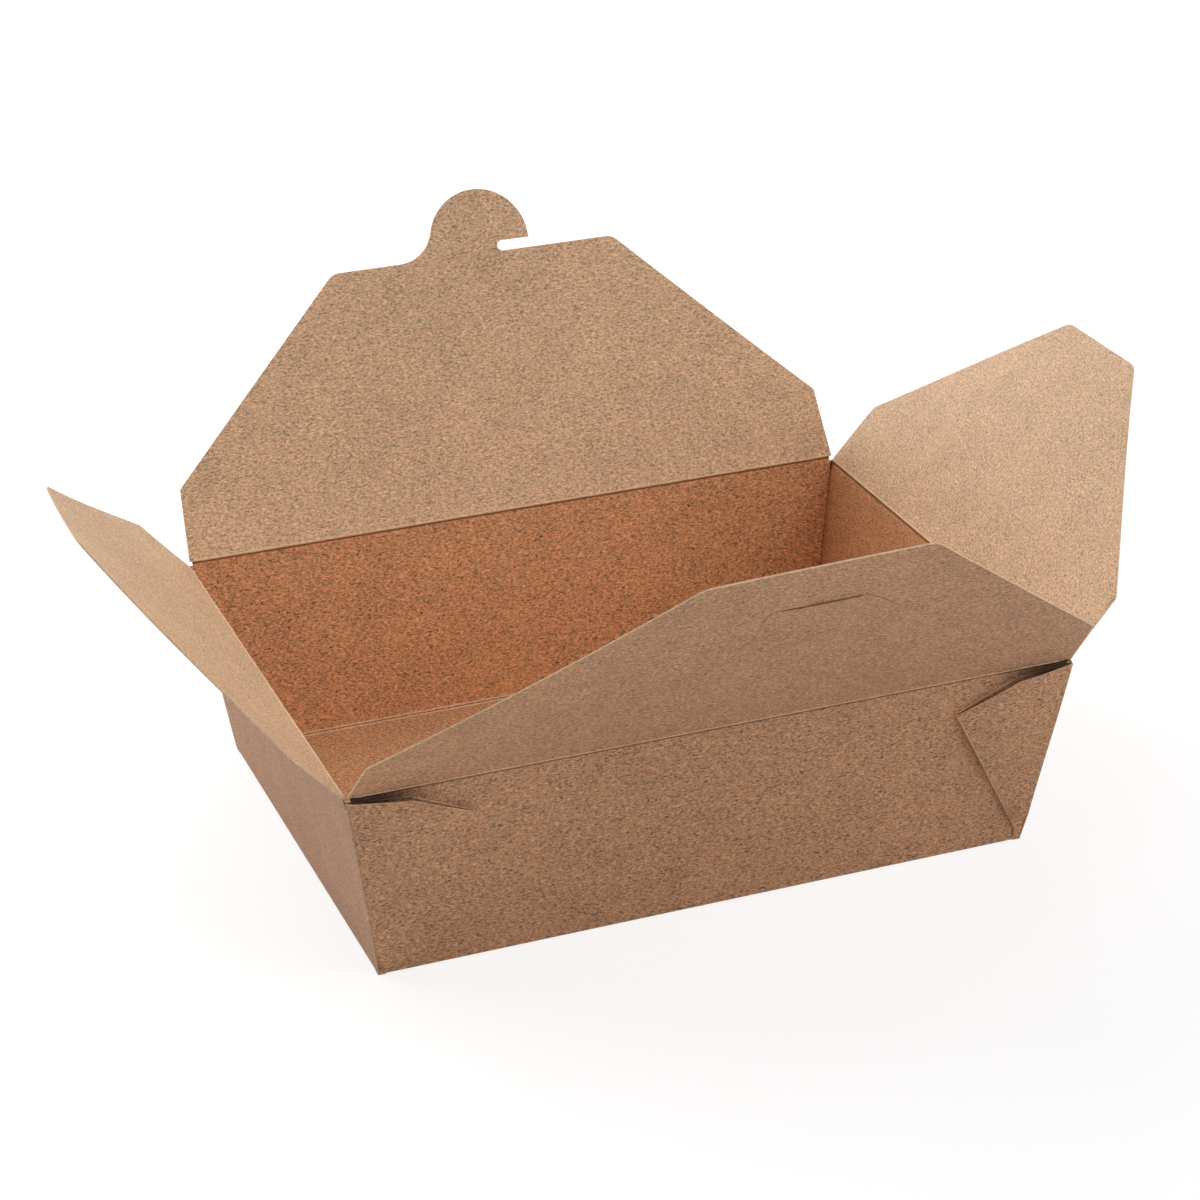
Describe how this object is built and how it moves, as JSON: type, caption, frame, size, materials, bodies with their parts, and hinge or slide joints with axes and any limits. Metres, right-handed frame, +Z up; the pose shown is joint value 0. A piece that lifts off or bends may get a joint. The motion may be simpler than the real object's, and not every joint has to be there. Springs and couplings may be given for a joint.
{
  "type": "takeaway box",
  "caption": "Folded kraft board takeaway food box, standing open: a flared tray with folded corner gussets, and hinged flaps that close with a tab and a slit.",
  "frame": {"origin": "middle of the underside of the tray's flat bottom", "axes": "+X along the length, +Y from the front wall with the slit flap to the back wall with the tab flap, +Z up"},
  "size_m": [0.3209, 0.2684, 0.1518],
  "materials": {
    "kraft_board": "matt uncoated brown kraft board with fine fibres"
  },
  "bodies": {
    "tray": {"tray": "kraft_board"},
    "front_flap": {"front_flap": "kraft_board"},
    "back_flap": {"back_flap": "kraft_board"},
    "left_flap": {"left_flap": "kraft_board"},
    "right_flap": {"right_flap": "kraft_board"}
  },
  "joints": [
    {"name": "front_fold", "type": "hinge", "parent": "tray", "child": "front_flap", "pos_m": [0, -0.07975, 0.0612], "axis": [1, 0, 0], "range_deg": [-129.6, 50.4]},
    {"name": "back_fold", "type": "hinge", "parent": "tray", "child": "back_flap", "pos_m": [0, 0.07985, 0.0619], "axis": [-1, 0, 0], "range_deg": [-117.8, 62.2]},
    {"name": "left_fold", "type": "hinge", "parent": "tray", "child": "left_flap", "pos_m": [-0.10789, 0, 0.0605], "axis": [0, -1, 0], "range_deg": [-132.1, 47.9]},
    {"name": "right_fold", "type": "hinge", "parent": "tray", "child": "right_flap", "pos_m": [0.10789, 0, 0.0605], "axis": [0, 1, 0], "range_deg": [-131.1, 48.9]}
  ]
}
